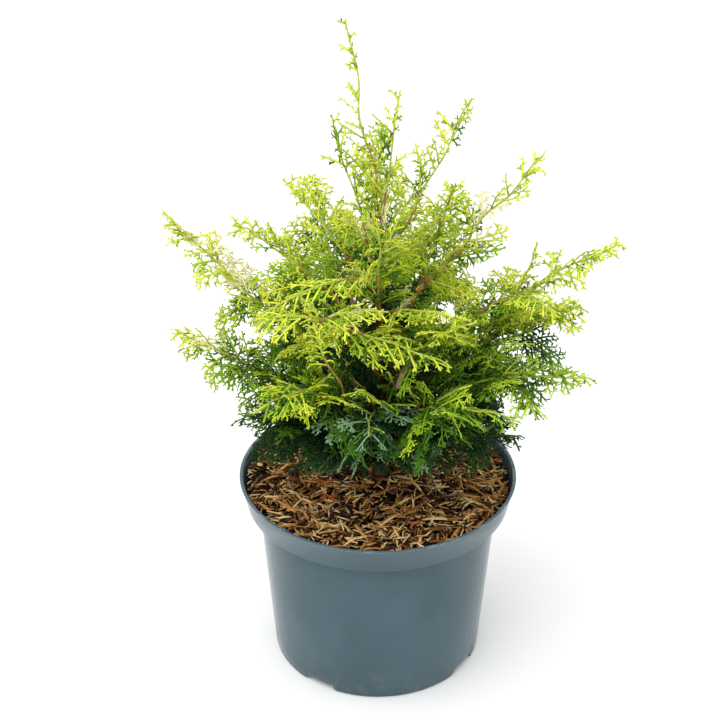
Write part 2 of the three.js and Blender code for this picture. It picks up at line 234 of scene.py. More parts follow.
def moulded_plastic():
    """Satin plastic: fine moulded grain, faint clouds, scuffs, a rim band painted lighter, partly as
    rubbed wear and partly as a painted highlight on the bead, and a dusty foot.
    """
    made, wire = new_finish("moulded_plastic")
    place = wire.node("TexCoord", {}, {}, "Object")
    height = wire.node("SeparateXYZ", {}, {"Vector": place}, "Z")
    clouds = wire.cloud(place, 16, 3)
    grain = wire.cloud(place, 1900)
    scratches = wire.cloud(wire.stretched(place, 40, 40, 700), 1, 3).ramp(0.63, 0.74)
    rubbed = wire.cloud(place, 55, 4).ramp(0.58, 0.72)
    scuffs = scratches * rubbed
    dust = (1 - height.ramp(0, 0.05)) * wire.cloud(place, 70, 4).ramp(0.45, 0.75)
    slate = clouds.ramp(0.3, 0.7).blend(linear(SLATE), linear(SLATE_CLOUD))
    # The rim's top band is painted lighter: partly rubbed wear, partly a painted highlight where the
    # rounded bead catches the light.
    rim = height.ramp((POT_HEIGHT - 2) * MM, (POT_HEIGHT - RIM_BEAD) * MM)
    rim_wear_and_highlight = rim * (0.35 + 0.6 * wire.cloud(place, 120, 4).ramp(0.5, 0.62))
    wear_and_highlight = wire.math("MAXIMUM", scuffs * 0.7, rim_wear_and_highlight)
    worn_and_highlit = wear_and_highlight.blend(slate, linear(SLATE_WORN_AND_HIGHLIT))
    colour = (dust * 0.3).blend(worn_and_highlit, linear(POT_DUST))
    roughness = 0.14 + 0.05 * clouds + 0.25 * scuffs + 0.3 * dust
    relief = {"Height": grain, "Strength": 0.06, "Distance": 0.0003}
    coat(wire, colour, roughness, wire.node("Bump", {}, relief), shine=0.2)
    return made


def finished(form, name, material):
    """A bmesh in millimetres as an object in metres."""
    form.transform(Matrix.Scale(MM, 4))
    mesh = bpy.data.meshes.new(name)
    form.to_mesh(mesh)
    form.free()
    mesh.materials.append(material)
    return put_in_scene(name, mesh)


def spun(form, profile, steps):
    """Turns a profile of (radius, height) points once round +Z."""
    points = [form.verts.new((radius, 0, height)) for radius, height in profile]
    edges = [form.edges.new(pair) for pair in zip(points, points[1:])]
    turn = {"angle": 2 * math.pi, "steps": steps, "use_merge": True, "axis": (0, 0, 1)}
    bmesh.ops.spin(form, geom=points + edges, cent=(0, 0, 0), use_duplicate=False, **turn)
    bmesh.ops.remove_doubles(form, verts=form.verts, dist=WELD)


def round_ring(form, radius, height, width, segments):
    """Rounds the ring of edges that runs at one radius and height."""

    def on_ring(vert):
        return abs(math.hypot(vert.co.x, vert.co.y) - radius) < NEAR and abs(vert.co.z - height) < NEAR

    ring = [edge for edge in form.edges if all(on_ring(vert) for vert in edge.verts)]
    shape = {"affect": "EDGES", "profile": 0.5, "material": -1}
    bmesh.ops.bevel(form, geom=ring, offset=width, segments=segments, **shape)


def over_arch(vert):
    """How far, from 0 to 1, a point of the foot lies over an arch: one end is steep, one slopes."""
    radius = math.hypot(vert.co.x, vert.co.y)
    if vert.co.z > ARCH_LOW or radius < ARCH_INNER_RADIUS - 0.1:
        return 0
    compass = math.degrees(math.atan2(vert.co.y, vert.co.x))
    lift = 0
    for centre in ARCH_DEGREES:
        away = math.radians((compass - centre + 180) % 360 - 180) * radius
        sloped = (away + ARCH_WIDTH / 2) / ARCH_HEIGHT
        steep = (ARCH_WIDTH / 2 - away) / (ARCH_HEIGHT / 2)
        lift = max(lift, min(1, sloped, steep))
    return lift


ledge = POT_HEIGHT - COLLAR_HEIGHT
collar_flare = (COLLAR_RADIUS - COLLAR_FOOT_RADIUS) / COLLAR_HEIGHT
body_flare = (BODY_TOP_RADIUS - FOOT_RADIUS) / ledge
rim_radius = COLLAR_RADIUS + RIM_BEAD
pot_profile = [
    (0, 0),
    (ARCH_END, 0),
    (ARCH_INNER_RADIUS, 0),
    (FOOT_RADIUS, 0),
    (FOOT_RADIUS + body_flare * (ARCH_LOW + 1), ARCH_LOW + 1),
    (BODY_TOP_RADIUS, ledge),
    (COLLAR_FOOT_RADIUS, ledge),
    (COLLAR_RADIUS, POT_HEIGHT - 2 * RIM_BEAD),
    (rim_radius, POT_HEIGHT - RIM_BEAD),
    (rim_radius, POT_HEIGHT),
    (COLLAR_RADIUS - POT_WALL, POT_HEIGHT),
    (COLLAR_FOOT_RADIUS - POT_WALL, ledge + POT_WALL),
    (BODY_TOP_RADIUS - POT_WALL, ledge - POT_WALL),
    (FOOT_RADIUS - POT_WALL, POT_FLOOR),
    (ARCH_INNER_RADIUS, POT_FLOOR),
    (ARCH_END, POT_FLOOR),
    (0, POT_FLOOR),
]
pot_form = bmesh.new()
spun(pot_form, pot_profile, POT_STEPS)
bmesh.ops.recalc_face_normals(pot_form, faces=pot_form.faces)
round_ring(pot_form, FOOT_RADIUS, 0, FOOT_CORNER, 3)
round_ring(pot_form, COLLAR_FOOT_RADIUS, ledge, COLLAR_CORNER, 4)
round_ring(pot_form, rim_radius, POT_HEIGHT - RIM_BEAD, BEAD_FOOT_CORNER, 2)
round_ring(pot_form, rim_radius, POT_HEIGHT, BEAD_CORNER, 4)
round_ring(pot_form, COLLAR_RADIUS - POT_WALL, POT_HEIGHT, MOUTH_CORNER, 3)
for vert in pot_form.verts:
    vert.co.z += ARCH_HEIGHT * over_arch(vert)
for face in pot_form.faces:
    face.smooth = True
pot = finished(pot_form, "nursery_pot", moulded_plastic())
pot.data.set_sharp_from_angle(angle=math.radians(SHARP_DEG))
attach(pot, "root")
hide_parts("pot")

# ---- Potting mix ----
# Moist peat with composted bark, filled in up to the collar. The mulch covers it, so the packed
# solid keeps its shape and only gets its dark crumbly finish.

PEAT_DARK = "1c130c"
PEAT_LIGHT = "3b2a1c"


def potting_mix():
    made, wire = new_finish("potting_mix")
    place = wire.node("TexCoord", {}, {}, "Object")
    crumbs = wire.cloud(place, 420, 5)
    colour = crumbs.ramp(0.35, 0.7).blend(linear(PEAT_DARK), linear(PEAT_LIGHT))
    relief = {"Height": crumbs, "Strength": 0.8, "Distance": 0.002}
    coat(wire, colour, 0.85 + 0.1 * crumbs, wire.node("Bump", {}, relief))
    return made


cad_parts["soil"].data.materials.clear()
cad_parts["soil"].data.materials.append(potting_mix())

# ---- Bark mulch ----
# A loose layer of shredded pine bark, poured on and shaken level. Under the top slivers it is
# painted near black, as the shade in the gaps between them; on it lie a few thousand flat split
# slivers, from straw tan to near black.

SOIL_TOP = 150
MULCH_TOP = 159
MULCH_SWELL = 1.6
MULCH_WAVE = 10
MULCH_GAP = 0.6
MULCH_FOOT = 0.3
MULCH_HOLE = 14
MULCH_RINGS = 26
MULCH_STEPS = 120
MULCH_CRUMBLE = 1.6
MULCH_CRUMBS = (3, 1.4)  # how wide the coarse and the fine ones are
FOOT_HEAP = 10  # how much higher the bark lies against the trunk
FOOT_HEAP_WIDTH = 32
# The bed's near black is painted shade, for the dark gaps between the slivers.
MULCH_BED_SHADE = "0f0804"
SLIVER_SEED = 11
# Each kind of sliver: its colour, how many there are, and between which shares of the heap they lie.
# The dark kinds lie low and the light kinds high, as painted shade that darkens the gaps.
SLIVERS = {
    "black_brown": ("1a0f08", 800, (0, 0.8)),
    "umber": ("3e2411", 900, (0, 0.95)),
    "brown": ("7a5024", 1000, (0.1, 0.95)),
    "rust": ("9c6226", 70, (0.4, 1)),
    "ash": ("8f7c60", 100, (0.4, 1)),
    "tan": ("c28a46", 1150, (0.3, 1)),
    "straw": ("f6cc8e", 780, (0.5, 1)),
}
SLIVER_RINGS = 4
SLIVER_LENGTH = (3, 9, 26)  # shortest, common and longest
SLIVER_SPREAD = 0.48  # of their lengths about the common one
SLIVER_FLAT = 0.7  # the most thickness for width
SLIVER_ENDS = (0.25, 0.9)  # how wide a ragged end is for its middle
SLIVER_SIDES = (0.85, 1.1)  # how uneven the sides are
SLIVER_SLIM = (0.06, 0.18)  # width for length
SLIVER_WIDTH = (0.6, 2.8)
SLIVER_THICK = (0.35, 0.9)
SLIVER_TILT_DEG = 12
SLIVER_ROLL_DEG = 28
SLIVER_BOW = 0.035
SLIVER_HEAP = 6.5  # how deep the loose slivers lie on each other


def mulch_height(x, y):
    """The height of the layer under a point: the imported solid's swells, and a heap at the trunk."""
    swell = np.sin(x / MULCH_WAVE) * np.cos(y / MULCH_WAVE) + np.sin(2 * (x - y) / MULCH_WAVE) / 2
    heap = FOOT_HEAP * np.exp(-(x * x + y * y) / FOOT_HEAP_WIDTH**2)
    return MULCH_TOP + MULCH_SWELL * swell + heap


def shredded_bark(name, tint):
    """Split bark: streaky, rough, and darker where it is damp."""
    made, wire = new_finish(name)
    place = wire.node("TexCoord", {}, {}, "Object")
    streaks = wire.cloud(place, 900, 4)
    damp = wire.cloud(place, 60, 3).ramp(0.35, 0.7)
    streaked = streaks.ramp(0.3, 0.7).blend(linear(tint, 0.6), linear(tint, 1.25))
    colour = (damp * 0.3).blend(streaked, linear(tint, 0.5))
    relief = {"Height": streaks, "Strength": 0.5, "Distance": 0.0005}
    coat(wire, colour, 0.9 - 0.2 * damp, wire.node("Bump", {}, relief), shine=0.25)
    return made


def joined(vertices, triangles, name, material):
    """Many small closed forms, in millimetres, as one object in metres."""
    mesh = bpy.data.meshes.new(name)
    mesh.vertices.add(len(vertices))
    mesh.vertices.foreach_set("co", (np.asarray(vertices) * MM).astype(np.float32).ravel())
    mesh.loops.add(3 * len(triangles))
    mesh.loops.foreach_set("vertex_index", np.asarray(triangles, np.int32).ravel())
    mesh.polygons.add(len(triangles))
    mesh.polygons.foreach_set("loop_start", np.arange(0, 3 * len(triangles), 3, dtype=np.int32))
    mesh.update(calc_edges=True)
    mesh.materials.append(material)
    return put_in_scene(name, mesh)


def tube_triangles(corners, rings, pointed):
    """The faces of a closed form: rings of so many corners, and two points or two flat ends."""
    faces = []
    for ring in range(rings - 1):
        for k in range(corners):
            a = ring * corners + k
            b = ring * corners + (k + 1) % corners
            faces += [(a, b, b + corners), (a, b + corners, a + corners)]
    last = (rings - 1) * corners
    foot = rings * corners
    if pointed:
        for k in range(corners):
            after = (k + 1) % corners
            faces += [(after, k, foot), (last + k, last + after, foot + 1)]
    else:
        for k in range(1, corners - 1):
            faces += [(0, k + 1, k), (last, last + k, last + k + 1)]
    return np.array(faces)


def sliver_forms(count, heap, random):
    """Slightly bent slivers with a box section and ragged ends, strewn evenly."""
    share = np.linspace(-0.5, 0.5, SLIVER_RINGS)
    lowest, common, longest = SLIVER_LENGTH
    length = np.clip(common * np.exp(random.normal(0, SLIVER_SPREAD, count)), lowest, longest)
    width = np.clip(length * random.uniform(*SLIVER_SLIM, count), *SLIVER_WIDTH)
    thick = np.minimum(random.uniform(*SLIVER_THICK, count), width * SLIVER_FLAT)
    away = np.sqrt(random.uniform((MULCH_HOLE / mulch_radius) ** 2, 1, count)) * mulch_radius
    away = np.minimum(away, mulch_radius - width)
    around = random.uniform(0, 2 * math.pi, count)
    turn = random.uniform(0, math.pi, count)
    radial = np.maximum(np.abs(np.cos(turn - around)), 0.05)
    chord = 2 * np.sqrt(np.maximum(mulch_radius**2 - away**2, 16))
    length = np.minimum(length, np.maximum(lowest, np.minimum(chord, 2 * (mulch_radius - away) / radial)))
    tilt = np.radians(random.normal(0, SLIVER_TILT_DEG, count))
    roll = np.radians(random.normal(0, SLIVER_ROLL_DEG, count))
    curl = random.normal(0, SLIVER_BOW, count)
    bow = random.normal(0, SLIVER_BOW, count)
    x = away * np.cos(around)
    y = away * np.sin(around)
    z = mulch_height(x, y) + SLIVER_HEAP * random.uniform(*heap, count)
    along = np.stack([np.cos(turn) * np.cos(tilt), np.sin(turn) * np.cos(tilt), np.sin(tilt)], 1)
    level = np.stack([-np.sin(turn), np.cos(turn), 0 * turn], 1)
    upright = np.cross(along, level)
    across = level * np.cos(roll)[:, None] + upright * np.sin(roll)[:, None]
    out = np.cross(along, across)
    centre = np.stack([x, y, z], 1)
    ends = random.uniform(*SLIVER_ENDS, (count, SLIVER_RINGS))
    ends[:, 1:-1] = random.uniform(*SLIVER_SIDES, (count, SLIVER_RINGS - 2))
    bend = 1 - 4 * share**2
    spine = centre[:, None] + along[:, None] * (share * length[:, None])[..., None]
    spine = spine + across[:, None] * (bend * (bow * length)[:, None])[..., None]
    spine = spine + out[:, None] * (bend * (curl * length)[:, None])[..., None]
    half = across[:, None] * (ends * width[:, None] / 2)[..., None]
    deep = out[:, None] * (np.sqrt(ends) * thick[:, None] / 2)[..., None]
    corners = [spine - half - deep, spine + half - deep, spine + half + deep, spine - half + deep]
    firsts = len(corners) * SLIVER_RINGS * np.arange(count)[:, None, None]
    triangles = tube_triangles(len(corners), SLIVER_RINGS, pointed=False) + firsts
    return np.stack(corners, 2).reshape(-1, 3), triangles.reshape(-1, 3)


mulch_foot = SOIL_TOP + MULCH_FOOT
wall_at_foot = COLLAR_FOOT_RADIUS - POT_WALL + collar_flare * (mulch_foot - ledge)
mulch_radius = wall_at_foot + collar_flare * (MULCH_TOP - mulch_foot) - MULCH_GAP
mulch_profile = [(MULCH_HOLE, mulch_foot), (wall_at_foot - MULCH_GAP, mulch_foot)]
mulch_profile += [(radius, MULCH_TOP) for radius in np.linspace(mulch_radius, MULCH_HOLE, MULCH_RINGS)]
mulch_form = bmesh.new()
spun(mulch_form, mulch_profile + mulch_profile[:1], MULCH_STEPS)
for vert in mulch_form.verts:
    if vert.co.z > SOIL_TOP + 1:
        coarse, fine = (noise.noise(vert.co / width) for width in MULCH_CRUMBS)
        crumble = coarse + fine / 2
        vert.co.z = mulch_height(vert.co.x, vert.co.y) + MULCH_CRUMBLE * crumble
bmesh.ops.recalc_face_normals(mulch_form, faces=mulch_form.faces)
mulch = finished(mulch_form, "mulch_bed", shredded_bark("mulch_bed_painted_shade", MULCH_BED_SHADE))
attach(mulch, "root")
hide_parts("mulch")
strew = np.random.default_rng(SLIVER_SEED)
for kind, (tint, count, heap) in SLIVERS.items():
    vertices, triangles = sliver_forms(count, heap, strew)
    slivers = joined(vertices, triangles, "slivers_" + kind, shredded_bark("bark_" + kind, tint))
    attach(slivers, "root")
    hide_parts("mulch")

# ---- Trunk ----
# One short stem with a flared foot, a slight lean and a thin top. Its bark is thin, fibrous and
# furrowed, greyish brown low down, and peels in narrow strips that run along it. Its colours are
# darkened throughout as painted shade, for the foliage that shades it.

TRUNK_TOP = 400
FLARE_RADIUS = 13
FLARE_HEIGHT = 14
TRUNK_RADIUS = 8
TRUNK_TOP_RADIUS = 2.2
TRUNK_SUNK = 6
TRUNK_SIDES = 32
TRUNK_RELIEF = 0.14
BARK_STEP = 2.2
STRIP_WIDTH = 1.3
STRIP_LENGTH = 14
CLEAR = 0.3
SPINE_STEPS = 60
HEADING_REACH = 0.005  # the share of a limb, each way, that its heading is taken over


class Spine:
    """A limb's middle line, as fine points that are found again by their share of its length."""

    def __init__(self, points):
        self.points = np.array(points, float)
        steps = np.linalg.norm(np.diff(self.points, axis=0), axis=1)
        self.length = steps.sum()
        self.shares = np.append(0, np.cumsum(steps)) / self.length

    def at(self, share):
        return np.stack([np.interp(share, self.shares, line) for line in self.points.T], -1)

    def heading(self, share):
        before = self.at(np.maximum(0, share - HEADING_REACH))
        ahead = self.at(np.minimum(1, share + HEADING_REACH)) - before
        return ahead / np.linalg.norm(ahead, axis=-1, keepdims=True)

    def stretch(self, low, high):
        return Spine(self.at(np.linspace(low, high, SPINE_STEPS)))


def through(points):
    """A centripetal Catmull-Rom curve through a few points."""
    points = [2 * points[0] - points[1], *points, 2 * points[-1] - points[-2]]
    line = []
    for a, b, c, d in zip(points, points[1:], points[2:], points[3:]):
        before, here, after = (math.sqrt(np.linalg.norm(q - p)) for p, q in ((a, b), (b, c), (c, d)))
        leave = (b - a) / before - (c - a) / (before + here) + (c - b) / here
        arrive = (c - b) / here - (d - b) / (here + after) + (d - c) / after
        for share in np.arange(SPINE_STEPS + 1) / SPINE_STEPS:
            rise = 3 * share**2 - 2 * share**3
            tails = (share**3 - 2 * share**2 + share) * leave + (share**3 - share**2) * arrive
            line.append(b + (c - b) * rise + tails * here)
    return Spine(line)


def trunk_radius(share):
    flare = math.exp(-share * (TRUNK_TOP - SOIL_TOP) / FLARE_HEIGHT)
    slim = TRUNK_RADIUS + (TRUNK_TOP_RADIUS - TRUNK_RADIUS) * share
    return slim + (FLARE_RADIUS - TRUNK_RADIUS) * flare


def tree_bark(name, furrow, ridge, lichen):
    """Fibrous bark whose strips run along the limb, as its grain attribute lays them."""
    made, wire = new_finish(name)
    grain = wire.node("Attribute", {"attribute_name": "grain"}, {}, "Vector")
    strips = wire.cloud(wire.stretched(grain, 1, 1, 0.12), 1.1, 5)
    flakes = wire.cloud(grain, 0.16, 3)
    woody = strips.ramp(0.34, 0.66).blend(linear(furrow), linear(ridge))
    colour = (flakes.ramp(0.5, 0.75) * 0.5).blend(woody, linear(lichen))
    relief = {"Height": strips, "Strength": 0.7, "Distance": 0.0008}
    coat(wire, colour, 0.72 + 0.2 * strips, wire.node("Bump", {}, relief), shine=0.3)
    return made


def grow_limb(form, spine, radius_at, across, sides, relief):
    """Draws a ring of corners out along a spine and closes both ends. Strips of bark stand out."""
    corner = form.verts.layers.int.get("corner") or form.verts.layers.int.new("corner")
    grain = form.verts.layers.float_vector.get("grain") or form.verts.layers.float_vector.new("grain")
    ring = bmesh.ops.create_circle(form, cap_ends=True, segments=sides, radius=1)["verts"]
    for k, vert in enumerate(ring):
        vert[corner] = k
    steps = max(3, round(spine.length / BARK_STEP))
    for stage in range(steps + 1):
        share = stage / steps
        if stage:
            grown = bmesh.ops.extrude_edge_only(form, edges=rim_of(ring))["geom"]
            ring = [item for item in grown if isinstance(item, bmesh.types.BMVert)]
        point = Vector(spine.at(share))
        heading = Vector(spine.heading(share))
        side = (Vector(across) - heading * heading.dot(Vector(across))).normalized()
        other = heading.cross(side)
        along = share * spine.length
        for vert in ring:
            angle = 2 * math.pi * vert[corner] / sides
            out = side * math.cos(angle) + other * math.sin(angle)
            radius = radius_at(share)
            place = Vector((math.cos(angle) * radius, math.sin(angle) * radius, along))
            strip_at = (place.x / STRIP_WIDTH, place.y / STRIP_WIDTH, along / STRIP_LENGTH)
            strip = noise.noise(Vector(strip_at))
            vert.co = point + out * radius * (1 + relief * strip)
            vert[grain] = place
    bmesh.ops.contextual_create(form, geom=rim_of(ring))


def rim_of(ring):
    """The edges that join the corners of one ring."""
    here = set(ring)
    edges = [edge for vert in ring for edge in vert.link_edges if edge.other_vert(vert) in here]
    return list(dict.fromkeys(edges))


def limbs_of(form, name, material):
    """Limbs that face outwards and are shaded smooth, as one object."""
    bmesh.ops.recalc_face_normals(form, faces=form.faces)
    for face in form.faces:
        face.smooth = True
    return finished(form, name, material)


trunk_spine = through(
    [
        np.array([0.0, 0, SOIL_TOP - TRUNK_SUNK / 2]),
        np.array([1.0, -3, SOIL_TOP + (TRUNK_TOP - SOIL_TOP) / 3]),
        np.array([2.0, -1, SOIL_TOP + (TRUNK_TOP - SOIL_TOP) * 2 / 3]),
        np.array([-3.0, 0, TRUNK_TOP]),
    ]
)
trunk_form = bmesh.new()
grow_limb(trunk_form, trunk_spine, trunk_radius, (0, 1, 0), TRUNK_SIDES, TRUNK_RELIEF)
for vert in trunk_form.verts:
    vert.co.z = max(vert.co.z, SOIL_TOP + CLEAR)
# The trunk's bark colours are painted darker than its own, as the shade that the foliage casts on it.
trunk = limbs_of(trunk_form, "trunk_bark", tree_bark("old_bark_painted_shade", "20150e", "4e3826", "5c5446"))
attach(trunk, "root")
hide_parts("trunk")

# ---- Boughs ----
# Steep limbs that leave the trunk in four tiers, turned so that none stands over the next. They
# are smooth and orange brown, and taper to the twigs that they carry. One is cut back to a stub.

BOUGH_RADIUS = 3.6
BOUGH_TO_TRUNK = 0.58
BOUGH_END_RADIUS = 1.9
BOUGH_SIDES = 14
BOUGH_RELIEF = 0.12
STUB_ON = "middle_3"
STUB_SHARE = 0.3
STUB_REACH = np.array([-13.0, -20, -17])
STUB_BOW = np.array([-3.0, -6, 5])
STUB_RADIUS = 1.9
STUB_ROOM = 7  # how far the fans keep off its cut end
# A tier is a ring of shoots. A shoot is its compass side in degrees from +X, its reach, the height
# of its tip, and how far its middle is pulled above a straight line.
TIERS = {
    "skirt": {
        "foot": 170,
        "rise": 3,
        "bare": 0.22,
        "spray": 60,
        "shoots": [
            (-155, 120, 256, 30),
            (-117, 104, 232, 34),
            (-74, 100, 228, 34),
            (-31, 124, 244, 32),
            (22, 118, 248, 28),
            (80, 112, 240, 28),
            (138, 114, 252, 28),
        ],
    },
    "low": {
        "foot": 196,
        "rise": 5,
        "bare": 0.26,
        "spray": 66,
        "shoots": [
            (-169, 163, 323, 14),
            (-126, 120, 300, 34),
            (-95, 98, 266, 34),
            (-62, 122, 290, 38),
            (-18, 172, 292, 34),
            (6, 165, 318, 26),
            (66, 150, 300, 26),
            (122, 150, 306, 24),
        ],
    },
    "middle": {
        "foot": 240,
        "rise": 7,
        "bare": 0.28,
        "spray": 62,
        "shoots": [
            (180, 165, 408, -10),
            (-118, 108, 366, 18),
            (-58, 106, 356, 26),
            (0, 187, 382, 16),
            (60, 132, 384, 10),
            (118, 132, 390, 8),
        ],
    },
    "upper": {
        "foot": 282,
        "rise": 8,
        "bare": 0.26,
        "spray": 54,
        "shoots": [(163, 122, 382, 34), (13, 132, 445, -2), (88, 84, 448, 4), (-92, 62, 428, 8)],
    },
    "crown": {
        "foot": 332,
        "rise": 13,
        "bare": 0,
        "spray": 48,
        "shoots": [(165, 78, 428, 6), (40, 20, 503, 14), (8, 70, 498, -4), (160, 39, 484, 0)],
    },
}
# Shoots that have drawn out slim: how long their side growth is for its tier's.
SLIM_SHOOTS = {"low_1": 0.82, "low_5": 0.75, "middle_1": 0.84, "middle_4": 0.7, "upper_2": 0.84}
LEADER_TIP = np.array([-26.0, 0, 562])
LEADER_BEND = np.array([6.0, 0, 0])
LEADER_SPRAY = 40
UP = np.array([0.0, 0, 1])
CURVE_POINTS = 101
SPIRAL_STEP = 3  # how many shoots of its ring lie between one shoot and the next one up


def bezier(start, middle, end):
    """A curve that leaves its start towards a middle point and comes from there to its end."""
    shares = np.linspace(0, 1, CURVE_POINTS)[:, None]
    points = (1 - shares) ** 2 * start + 2 * shares * (1 - shares) * middle + shares**2 * end
    return Spine(points)


def part_of(start, middle, end, low, high):
    """The stretch of such a curve between two shares of it."""

    def point(share):
        return (1 - share) ** 2 * start + 2 * share * (1 - share) * middle + share**2 * end

    first, last = point(low), point(high)
    return bezier(first, 2 * point((low + high) / 2) - (first + last) / 2, last)


def level_across(compass):
    """The level direction at right angles to a compass direction."""
    return np.array([-math.sin(compass), math.cos(compass), 0])


def grown_shoots():
    """Every shoot: its bough's spine, where it has one, and the spine of the twig that goes on."""
    made = []
    for tier, rule in TIERS.items():
        for k, (compass, reach, height, bend) in enumerate(rule["shoots"]):
            spiral = SPIRAL_STEP * k % len(rule["shoots"])
            share = (rule["foot"] + rule["rise"] * spiral - SOIL_TOP) / (TRUNK_TOP - SOIL_TOP)
            foot = trunk_spine.at(share)
            turn = math.radians(compass)
            tip = np.array([reach * math.cos(turn), reach * math.sin(turn), height])
            middle = (foot + tip) / 2 + bend * UP
            bare = rule["bare"]
            gap = CLEAR / bezier(foot, middle, tip).length
            name = f"{tier}_{k + 1}"
            made.append(
                {
                    "name": name,
                    "tier": tier,
                    "compass": turn,
                    "spray": rule["spray"] * SLIM_SHOOTS.get(name, 1),
                    "radius": min(BOUGH_RADIUS, BOUGH_TO_TRUNK * trunk_radius(share)),
                    "bough": part_of(foot, middle, tip, 0, bare) if bare else None,
                    "twig": part_of(foot, middle, tip, bare + gap if bare else 0, 1),
                }
            )
    top = trunk_spine.at(1) + CLEAR * UP
    leader = bezier(top, (top + LEADER_TIP) / 2 + LEADER_BEND, LEADER_TIP)
    kind = {"name": "leader", "tier": "leader", "compass": 0, "spray": LEADER_SPRAY}
    made.append({**kind, "bough": None, "twig": leader})
    return made


shoots = grown_shoots()
shoot_named = {shoot["name"]: shoot for shoot in shoots}
bough_form = bmesh.new()
for shoot in shoots:
    if shoot["bough"]:
        foot_radius = shoot["radius"]
        slimmer = BOUGH_END_RADIUS - foot_radius
        across = level_across(shoot["compass"])
        grow_limb(
            bough_form,
            shoot["bough"],
            lambda share: foot_radius + slimmer * share,
            across,
            BOUGH_SIDES,
            BOUGH_RELIEF,
        )
boughs = limbs_of(bough_form, "bough_bark", tree_bark("young_bark", "80522a", "c08a4c", "a89468"))
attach(boughs, "root")
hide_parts(*["bough_" + shoot["name"] for shoot in shoots if shoot["bough"]])

stub_foot = shoot_named[STUB_ON]["twig"].at(STUB_SHARE)
stub_form = bmesh.new()
stub_spine = bezier(stub_foot, stub_foot + STUB_REACH / 2 + STUB_BOW, stub_foot + STUB_REACH)
grow_limb(stub_form, stub_spine, lambda share: STUB_RADIUS, (1, 0, 0), BOUGH_SIDES, BOUGH_RELIEF)
stub = limbs_of(stub_form, "cut_stub", tree_bark("stub_bark", "8a6252", "c39a86", "cdb09c"))
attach(stub, "root")
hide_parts("foliage_" + STUB_ON)

# ---- Twigs ----
# Each bough goes on as a thin twig to the shoot's tip, and each twig bears side twigs. Their foot
# is young orange wood; the rest is this year's growth, closely clad in the same scales as a leaf.

TWIG_RADIUS = 1.5
TWIG_TIP_RADIUS = 0.6
TWIG_SIDES = 6
TWIG_STEP = 5
TWIG_ENDS = (0.01, 0.985)  # where its first and last ring lie; beyond them it is pointed
TWIG_KNOBS = 0.12
TWIG_KINK = 0.012  # of its length, to each side
TWIG_WAVES = (2, 3, 5)  # half waves in the length
KINK_SEEDS = 7  # how far apart the seeds of two twigs' kinks are
TWIG_WOODY = 0.4  # of a twig, from its foot
SIDE_TWIG_FIRST = 10
SIDE_TWIG_LAST = 0.85  # of the twig that bears it
SIDE_TWIG_ROOM = 0.2  # for its length: how far its tip keeps off where foliage ends
SIDE_TWIG_PITCH = 18
SIDE_TWIG_LENGTH = 0.9  # of the fan that would stand in its place
SIDE_TWIG_RADIUS = 0.9
SIDE_TWIG_WOODY = 0.15  # of a side twig, past its stretch without fans
SIDE_TWIG_LIFT_DEG = 24
SIDE_TWIG_RISE = (0.02, 0.14)  # for its length: what all have, and the play
SIDE_TWIG_BEND = 0.09
SIDE_TWIG_SPRAY = 0.46  # its fans, for its own length
LONG_SHOOT_SPRAY = 30
LONG_SHOOT_RADIUS = 1.3
LONG_SHOOT_LIGHTER = 0.14
OPEN_TIERS = ("crown", "leader")
OPEN_RADIUS = 1.1
OPEN_TWIG_PITCH = 30
SPRAY_FIRST = 6
SPRAY_ANGLE_DEG = 46
SPRAY_ANGLE_PLAY_DEG = 9
SPRAY_ROLL_PLAY_DEG = 55
SPRAY_LENGTH_PLAY = 0.18
SIDE_AT_FOOT = 0.7
SIDE_RISE = 1.5
SIDE_FALL = (0.82, 1.45)  # how much shorter the last piece is, and how late it shortens
FAN_FALL = (0.7, 2)
FOLIAGE_SEED = 100
HEM_ROOM = 9  # how far all foliage keeps off the mulch
HEM_SLOPE = 0.62  # in front, the skirt ends the higher the farther it stands out
HEM_PARTING = 3  # and higher still at its middle
HEM_PARTING_AT = 4
HEM_PARTING_WIDTH = 26
# Long arching side shoots that have overgrown the front: the shoot and the share of its twig that
# bears each, its compass side, reach and rise, how far its middle is pulled up and to its left,
# and the share of it that is bare.
LONG_SHOOTS = [
    ("low_2", 0.1, -111, 72, 112, -50, -18, 0.6),
    ("middle_2", 0.9, 178, 50, -6, 12, 0, 0),
    ("middle_2", 0.86, -4, 52, 10, 8, 0, 0),
    ("upper_4", 0.4, -158, 107, -18, 22, 0, 0.1),
    ("middle_2", 0.62, -12, 92, -22, 12, 0, 0.1),
    ("upper_4", 0.03, -50, 100, 34, 8, 0, 0.1),
    ("low_4", 0.5, -8, 78, -6, 14, 0, 0.1),
    ("low_6", 0.52, -20, 22, 84, 4, 0, 0),
    ("low_5", 0.5, -60, 46, -14, 14, 0, 0),
    ("low_2", 0.5, -150, 64, 4, 16, 0, 0),
    ("low_3", 0.3, -100, 60, 52, 10, 0, 0.1),
    ("middle_4", 0.4, -60, 62, 10, 14, 0, 0),
    ("upper_2", 0.02, -100, 30, 52, 6, 0, 0),
    ("upper_2", 0.22, -85, 24, 46, 4, 0, 0),
    ("middle_3", 0.12, -20, 24, 62, 4, 0, 0),
]


def seeded(seed):
    """The plant's own generator, so that it grows the same way each time."""
    state = seed * 2654435761 % 2**32

    def draw():
        nonlocal state
        state = (state * 1664525 + 1013904223) % 2**32
        return state / 2**32

    return draw


def play(draw, amount):
    return amount * (2 * draw() - 1)


def side_profile(share, fall):
    """A side piece's length for its place on what carries it: full near the foot, short at the tip."""
    amount, late = fall
    return min(1, SIDE_AT_FOOT + SIDE_RISE * share) * (1 - amount * share**late)


def turned_about(vector, axis, angle):
    straight = axis * np.dot(axis, vector) * (1 - math.cos(angle))
    return vector * math.cos(angle) + np.cross(axis, vector) * math.sin(angle) + straight


